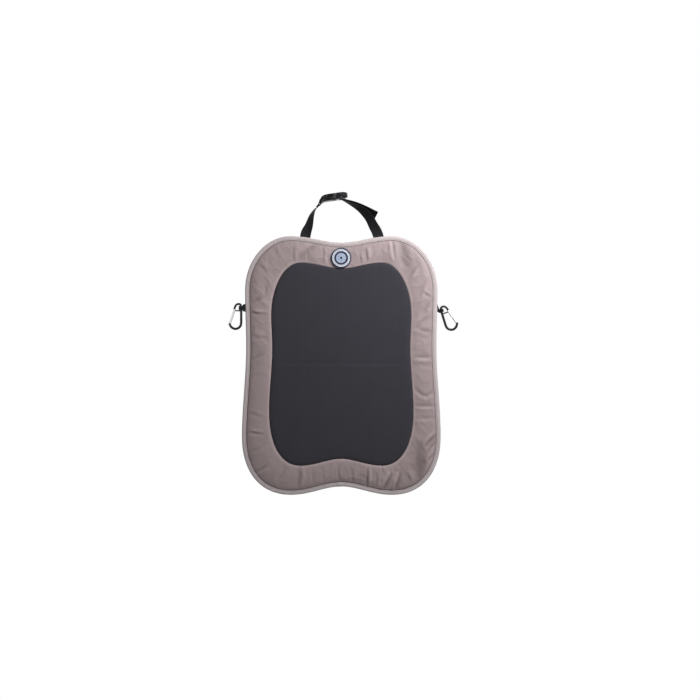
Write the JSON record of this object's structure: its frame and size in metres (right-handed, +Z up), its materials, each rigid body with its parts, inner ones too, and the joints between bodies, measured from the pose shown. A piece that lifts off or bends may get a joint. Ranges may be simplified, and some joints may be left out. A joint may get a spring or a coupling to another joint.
{
  "type": "car seat kick mat",
  "caption": "Padded mat that hangs from the headrest on a buckled strap and shields a seat's back, with a hook carabiner at each side.",
  "frame": {"origin": "middle of the flat back face, half way between the top and bottom crests", "axes": "+Z up as the mat hangs, +Y out of the back towards the seat, +X to the right seen from the front"},
  "size_m": [0.4379, 0.028, 0.5745],
  "materials": {
    "cover_fabric": "taupe woven nylon with a slight sheen",
    "back_fabric": "taupe woven nylon",
    "binding_tape": "light grey-pink woven tape",
    "panel_fabric": "charcoal ribbed fabric",
    "foam": "soft foam",
    "webbing": "black woven webbing",
    "buckle_plastic": "black moulded plastic",
    "badge_rubber": "soft moulded badge with light rings",
    "black_metal": "black coated",
    "gate_metal": "satin",
    "pin_steel": "bright"
  },
  "bodies": {
    "mat": {"front_cover": "cover_fabric", "centre_panel": "panel_fabric", "foam_pad": "foam", "back_cover": "back_fabric", "edge_binding": "binding_tape", "badge": "badge_rubber", "strap_left": "webbing", "strap_right": "webbing", "buckle_socket": "buckle_plastic", "buckle_plug": "buckle_plastic", "side_tab_left": "webbing", "side_tab_right": "webbing"},
    "carabiner_left": {"carabiner_left": "black_metal", "hinge_pin_left": "pin_steel"},
    "gate_left": {"gate_left": "gate_metal", "latch_pin_left": "pin_steel", "gate_spring_left": "pin_steel"},
    "carabiner_right": {"carabiner_right": "black_metal", "hinge_pin_right": "pin_steel"},
    "gate_right": {"gate_right": "gate_metal", "latch_pin_right": "pin_steel", "gate_spring_right": "pin_steel"}
  },
  "joints": [
    {"name": "carabiner_left_swing", "type": "hinge", "parent": "mat", "child": "carabiner_left", "pos_m": [-0.19036, -0.0029, 0.1088], "axis": [0, 0, 1], "range_deg": [-90, 90]},
    {"name": "gate_left_hinge", "type": "hinge", "parent": "carabiner_left", "child": "gate_left", "pos_m": [-0.20356, -0.0029, 0.1049], "axis": [0, -1, 0], "range_deg": [0, 28], "stiffness_Nm_per_rad": 0.01, "springref_deg": -34.38},
    {"name": "carabiner_right_swing", "type": "hinge", "parent": "mat", "child": "carabiner_right", "pos_m": [0.19036, -0.0029, 0.1026], "axis": [-0.2924, 0, 0.9563], "range_deg": [-90, 90]},
    {"name": "gate_right_hinge", "type": "hinge", "parent": "carabiner_right", "child": "gate_right", "pos_m": [0.20412, -0.0029, 0.10273], "axis": [0, 1, 0], "range_deg": [0, 28], "stiffness_Nm_per_rad": 0.01, "springref_deg": -34.38}
  ]
}
